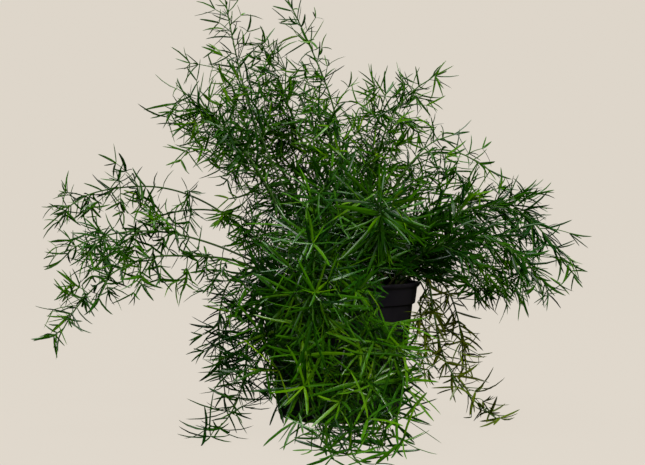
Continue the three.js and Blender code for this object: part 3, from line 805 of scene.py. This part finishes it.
def star(leaves, roll, at, along, count, lean, kind, size, tones, curl=-0.06, rise=0.4):
    """A star of leaves round one spot, each facing the way that its twig grows. Curl bends the
    leaves over, and rise turns their faces up, most of all where they lie on the surface."""
    start = roll(0, 2 * math.pi)
    curve = 0.12 if rise > 1 else 0.22 if leaves.broad else 0.40
    for i in range(count):
        turn = start + 2 * math.pi * i / count + roll(-0.6, 0.6)
        out = leaving(along, turn, lean + roll(-0.45, 0.35))
        out[2] = (out[2] - 0.06) * kind.steep
        out = unit(out)
        facing = along + np.array([roll(-0.7, 0.7), roll(-0.7, 0.7), rise + roll(-0.5, 0.5)])
        over = unit(facing - facing.dot(out) * out)
        grown = roll(0.45, 1.15)
        width = kind.width * roll(0.6, 1.05) * (0.35 + 0.65 * grown)
        leaves.add(at, out, over, size * grown, width, curl + roll(-curve, curve),
                   roll(-curve, curve), roll(*tones))


def toned(kind, lift):
    """The tones of a kind's old and young leaves, lighter by lift."""
    return tuple(tone + lift for tone in kind.tones)


def in_open_space(stem, place, tip):
    """Whether a twig ends under the mass at the right or beside the pot's foot."""
    under_mass = stem.growth == "dense" and place < 0.6 and tip[2] < UNDER_RIGHT_MASS
    beside_foot = stem.leaves.broad and abs(tip[0]) > FOOT_SIDE and tip[2] < FOOT_TOP
    return under_mass or beside_foot


def clothe_twigs(stem):
    """The twigs all along a cane, with stars of leaves out to their tips. Only every other one
    grows where the cane lies on the surface, and stars are sparser there."""
    kind, leaves = stem.kind, stem.leaves
    places = [(k, (k + 0.5) / TWIG_PLACES) for k in SOLID_TWIGS]
    places += [(100 + k, kind.low + (kind.top - kind.low) * (k + 0.5) / kind.twigs)
               for k in range(kind.twigs)]
    for key, place in places:
        twig = twig_points((stem.index, key), place, stem.cane, stem.bare, stem.reach, kind.sag)
        if twig is None or (twig[0][2] < LOW_GROWTH and key % 2):
            continue
        if in_open_space(stem, place, twig[-1]):
            continue
        stem.tubes.append((twig, *TWIG_RADII, TWIG_SIDES))
        roll = dice(stem.index, key, 5)
        length = np.linalg.norm(np.diff(twig, axis=0), axis=1).sum()
        stars = max(2, round(length / (kind.gap * (0.8 + 0.6 * place))))
        low = twig[-1][2] < 2 * LOW_GROWTH
        count = 2 if place < kind.low else kind.inner if place < 0.65 else kind.outer
        count -= 2 if low else 0
        finer = kind if leaves.broad else kind._replace(width=kind.width * (1.1 - 0.4 * place))
        # A twig's tone varies at random. Painted shade makes it darker where it ends on the
        # surface, and on the front's stems where it starts above HIGH_GROWTH.
        shade = roll(-0.14, 0.10) + (0.22 if roll(0, 1) < 0.14 else 0)
        shade -= 0.08 if low else 0
        shade -= 0.27 if stem.growth == "front" and twig[0][2] > HIGH_GROWTH else 0
        for m in range(stars):
            share = 0.2 + 0.78 * m / (stars - 1)
            at, along = at_share(twig, share)
            lean = kind.lean - (0.35 if m == stars - 1 and kind.sag > 0 else 0.15 * share)
            # Leaves further out on a twig are lighter: partly as younger growth, partly as painted
            # light, since those near the cane lie deeper in the mass.
            lift = shade + 0.42 * (share - 0.6)
            size = kind.length * (1.05 - 0.2 * share) * (0.6 if at[2] < LOW_GROWTH else 1)
            star(leaves, roll, at, along, count, lean, finer, size, toned(kind, lift))


def reaching_twig(cane, tip):
    """A twig from the cane's nearest place a little above the tip, arched out to it."""
    nearest = np.argmin(np.linalg.norm(cane - (np.array(tip) + [0, 10, 4]), axis=1))
    t = np.linspace(0, 1, 8)[:, None]
    return cane[nearest] + (tip - cane[nearest]) * t + np.array([0, 0, 6]) * t * (1 - t)


def clothe_reaching_twigs(stem):
    """The twigs that reach out to a star. On the surface they bear that star alone."""
    kind, leaves = stem.kind, stem.leaves
    for number, (x, y, z, count, size) in enumerate(REACHING_STARS.get(stem.name, [])):
        twig = reaching_twig(stem.cane, (x, y, z))
        stem.tubes.append((twig, *REACHING_RADII, TWIG_SIDES))
        roll = dice(stem.index, 80, number)
        low = z < 2 * LOW_GROWTH
        curl, rise = (0.3, 2.0) if low else (-0.03, 0.4)
        thin = kind if leaves.broad or low else kind._replace(width=kind.width * 0.88)
        tone_and_painted_shade = roll(0.02, 0.14) + (0.14 if roll(0, 1) < 0.2 and not leaves.broad else 0)
        # Painted shade: the front's stars above HIGH_GROWTH are darker.
        tone_and_painted_shade -= 0.15 if stem.growth == "front" and z > HIGH_GROWTH else 0
        stars = [(0.98, count)] if low else [(0.5, 3), (0.8, 4), (0.98, count)]
        for share, some in stars:
            at, along = at_share(twig, share)
            star(leaves, roll, at, along, some, 1.15, thin, size, toned(kind, tone_and_painted_shade), curl, rise)


def clothe_cane(stem):
    """The stars on the cane itself, the last of them closed up at its tip."""
    kind, leaves = stem.kind, stem.leaves
    for m in range(CANE_STARS):
        roll = dice(stem.index, 70, m)
        share = stem.bare * 0.9 + (1 - stem.bare * 0.9) * (m + 1) / CANE_STARS
        at, along = at_share(stem.cane, min(share, 0.995))
        lean = 0.4 if m == CANE_STARS - 1 else kind.lean
        low = at[2] < LOW_GROWTH
        # Stars on the cane are darker for broad leaves and on the surface, partly as old growth and
        # partly as painted shade deeper in the mass, and the front's are painted darker still above
        # HIGH_GROWTH.
        shade = -0.10 if leaves.broad or low else 0
        shade -= 0.18 if stem.growth == "front" and at[2] > HIGH_GROWTH else 0
        count = kind.outer + (share < 0.5) - (share > 0.7) - 2 * low
        size = kind.length * (0.7 if low else 1)
        star(leaves, roll, at, along, count, lean, kind, size, toned(kind, shade))


Stem = namedtuple("Stem", "index name growth kind cane bare reach tubes leaves")


def grow(index, name, foot, points, bare, reach, growth):
    """One leafy stem: its cane and twigs as runs of points with their radii, and its leaves."""
    kind = GROWTH[growth]
    cane = cane_points(foot, points)
    tubes = [(cane, *CANE_RADII, CANE_SIDES)]
    leaves = Leaves(broad=kind.length >= BROAD_LENGTH)
    stem = Stem(index, name, growth, kind, cane, bare, reach, tubes, leaves)
    clothe_twigs(stem)
    clothe_reaching_twigs(stem)
    clothe_cane(stem)
    return stem


def leafy_mesh(name, tubes, leaves):
    """One mesh of cane and leaves, with each point's tone and its share of the way along."""
    places, shares, tones, faces = [], [], [], []
    total = 0
    for points, foot_radius, tip_radius, sides in tubes:
        rings, share, tris = tube(points, foot_radius, tip_radius, sides, total)
        places.append(rings)
        shares.append(share if sides == CANE_SIDES else 0.6 + 0.4 * share)
        tones.append(np.full(len(rings), 0.3))
        faces.append(tris)
        total += len(rings)
    wood = sum(len(tris) for tris in faces)
    blades, share, tone = leaves.mesh_arrays()
    faces.append(leaves.faces(len(blades), total))
    places = np.vstack([*places, blades.reshape(-1, 3)]) * MM
    faces = np.vstack(faces)
    mesh = bpy.data.meshes.new(name)
    mesh.from_pydata(places.tolist(), [], faces.tolist())
    for label, values in (("along", np.concatenate([*shares, share])),
                          ("tone", np.concatenate([*tones, tone]))):
        layer = mesh.attributes.new(label, "FLOAT", "POINT")
        layer.data.foreach_set("value", values.astype(np.float32))
    slots = np.ones(len(faces), np.int32)
    slots[:wood] = 0
    mesh.polygons.foreach_set("material_index", slots)
    mesh.shade_smooth()
    mesh.set_sharp_from_angle(angle=math.radians(CREASE))
    return mesh


def cane_finish():
    """Wiry cane: tan and woody at the foot, then green, with a fine grain."""
    material, wire, surface = new_finish("cane")
    along = wire.node("ShaderNodeAttribute", {"attribute_name": "along"}, out=2)
    place = wire.node("ShaderNodeTexCoord", out=3)
    grain = wire.node("ShaderNodeTexNoise", {}, {"Vector": place, "Scale": 500.0, "Detail": 4.0})
    colour = wire.node("ShaderNodeValToRGB", {"stops": [
        (0.0, (0.085, 0.060, 0.028)), (0.30, (0.030, 0.062, 0.008)), (0.8, (0.044, 0.140, 0.003)),
    ]}, {"Fac": along + grain * 0.2 - 0.1})
    bump = wire.node("ShaderNodeBump", {}, {"Strength": 0.3, "Distance": 0.0003, "Height": grain})
    wire.feed(surface, {
        "Base Color": colour, "Roughness": 0.45 + grain * 0.2, "Normal": bump,
        "Specular IOR Level": 0.25,
    })
    return material


def leaf_finish(name, shine, bloom, *stops):
    """Waxy leaf whose tone runs from dark, for old leaves and painted shade, to yellow-green, for
    young leaves and painted light. A bloom dulls it in patches, and a painted sheen makes it paler
    where it is seen aslant."""
    material, wire, surface = new_finish(name)
    tone = wire.node("ShaderNodeAttribute", {"attribute_name": "tone"}, out=2)
    along = wire.node("ShaderNodeAttribute", {"attribute_name": "along"}, out=2)
    place = wire.node("ShaderNodeTexCoord", out=3)
    mottle = wire.node("ShaderNodeTexNoise", {}, {"Vector": place, "Scale": 350.0, "Detail": 3.0})
    cloud = wire.node("ShaderNodeTexNoise", {}, {"Vector": place, "Scale": 30.0, "Detail": 2.0})
    # The tone holds painted light and shade as well as the leaf's age.
    age_and_painted_light = tone + (cloud - 0.5) * 0.40 + (mottle - 0.5) * 0.18 + (0.5 - along) * 0.08
    colour = wire.node("ShaderNodeValToRGB", {"stops": list(zip((0, 0.25, 0.5, 0.75, 1), stops))},
                       {"Fac": age_and_painted_light})
    patch = wire.node("ShaderNodeTexNoise", {}, {"Vector": place, "Scale": 24.0, "Detail": 1.0})
    bloomed = wire.blend(patch.spread(0.50, 0.66) * bloom, colour, (0.012, 0.086, 0.015))
    # Painted sheen: a paler green is blended in where the leaf is seen aslant.
    aslant = wire.node("ShaderNodeLayerWeight", {}, {"Blend": 0.3}, out=1)
    painted_sheen_colour = wire.blend(aslant * (0.25 * shine), bloomed, (0.032, 0.125, 0.022))
    wire.feed(surface, {
        "Base Color": painted_sheen_colour, "Roughness": 0.17 + mottle * 0.12, "Specular IOR Level": shine,
    })
    return material


cane_green = cane_finish()
leaf_green = leaf_finish("leaf", 0.18, 0.35, (0.004, 0.028, 0.0), (0.014, 0.074, 0.0),
                         (0.042, 0.158, 0.0), (0.118, 0.290, 0.001), (0.260, 0.460, 0.004))
leaf_young = leaf_finish("leaf_young", 0.38, 0.20, (0.004, 0.032, 0.0), (0.015, 0.088, 0.0),
                         (0.048, 0.185, 0.0), (0.135, 0.330, 0.001), (0.270, 0.480, 0.003))
leaf_brown = leaf_finish("leaf_in_shade", 0.2, 0.0, (0.026, 0.030, 0.002), (0.052, 0.066, 0.003),
                         (0.088, 0.115, 0.005), (0.120, 0.185, 0.007), (0.160, 0.260, 0.010))
for number, (name, row) in enumerate(STEMS.items()):
    stem = grow(number, name, *row)
    mesh = leafy_mesh("foliage_" + name, stem.tubes, stem.leaves)
    leaf = {"olive": leaf_brown, "front": leaf_young}.get(stem.growth, leaf_green)
    add_piece("foliage_" + name, mesh, "leafy_stem_" + name, "foliage", cane_green, leaf)


# Floor and lights
# A pale seamless sweep carries the pot and rises behind it. One broad soft box stands over the
# camera's right shoulder and one hangs overhead. Weak ones fill from the left and the back.
SWEEP_COLOUR = (0.730, 0.672, 0.591)
SWEEP_REACH = 12
SWEEP_BACK = 1.6
SWEEP_BEND = 1.2
SWEEP_TOP = 4.0
BEND_STEPS = 12


def sweep_mesh():
    mesh = bmesh.new()
    run = [(-SWEEP_REACH, 0.0), (SWEEP_BACK, 0.0)]
    for step in range(1, BEND_STEPS + 1):
        turn = math.pi / 2 * step / BEND_STEPS
        run.append((SWEEP_BACK + SWEEP_BEND * math.sin(turn),
                    SWEEP_BEND - SWEEP_BEND * math.cos(turn)))
    run.append((SWEEP_BACK + SWEEP_BEND, SWEEP_TOP))
    left = [mesh.verts.new((-SWEEP_REACH, y, z)) for y, z in run]
    right = [mesh.verts.new((SWEEP_REACH, y, z)) for y, z in run]
    for i in range(len(run) - 1):
        mesh.faces.new((left[i], right[i], right[i + 1], left[i + 1]))
    data = finished_mesh("sweep", mesh)
    data.shade_smooth()
    return data


sweep_paper, wire, surface = new_finish("sweep_paper")
wire.feed(surface, {
    "Base Color": (0.02, 0.019, 0.018), "Roughness": 0.95, "Specular IOR Level": 0.0,
    "Emission Color": SWEEP_COLOUR, "Emission Strength": 0.99,
})
sweep = in_scene("sweep", sweep_mesh())
sweep.data.materials.append(sweep_paper)
sweep.visible_diffuse = False
sweep.visible_glossy = False


def soft_box(name, place, size, watts, colour):
    data = bpy.data.lights.new(name, "AREA")
    data.shape = "DISK"
    data.size = size
    data.energy = watts
    data.color = colour
    lamp = in_scene(name, data)
    lamp.location = place
    aim = Vector((0, 0, 0.15)) - Vector(place)
    lamp.rotation_euler = aim.to_track_quat("-Z", "Y").to_euler()


soft_box("key", (0.75, -1.5, 1.1), 0.9, 26, (1.0, 0.98, 0.95))
soft_box("overhead", (-0.2, 0.1, 1.6), 1.0, 16, (0.95, 0.98, 1.0))
soft_box("fill", (-1.5, -0.9, 0.7), 1.2, 4, (0.95, 0.98, 1.0))
soft_box("back", (0.5, 1.6, 1.3), 1.6, 8, (1.0, 0.98, 0.95))
world = bpy.data.worlds.new("room")
bpy.context.scene.world = world
world.use_nodes = True
room_light = world.node_tree.nodes["Background"].inputs
room_light["Color"].default_value = (*SWEEP_COLOUR, 1)
room_light["Strength"].default_value = 0.20
world.cycles_visibility.glossy = False
bpy.context.scene.view_settings.view_transform = "Standard"
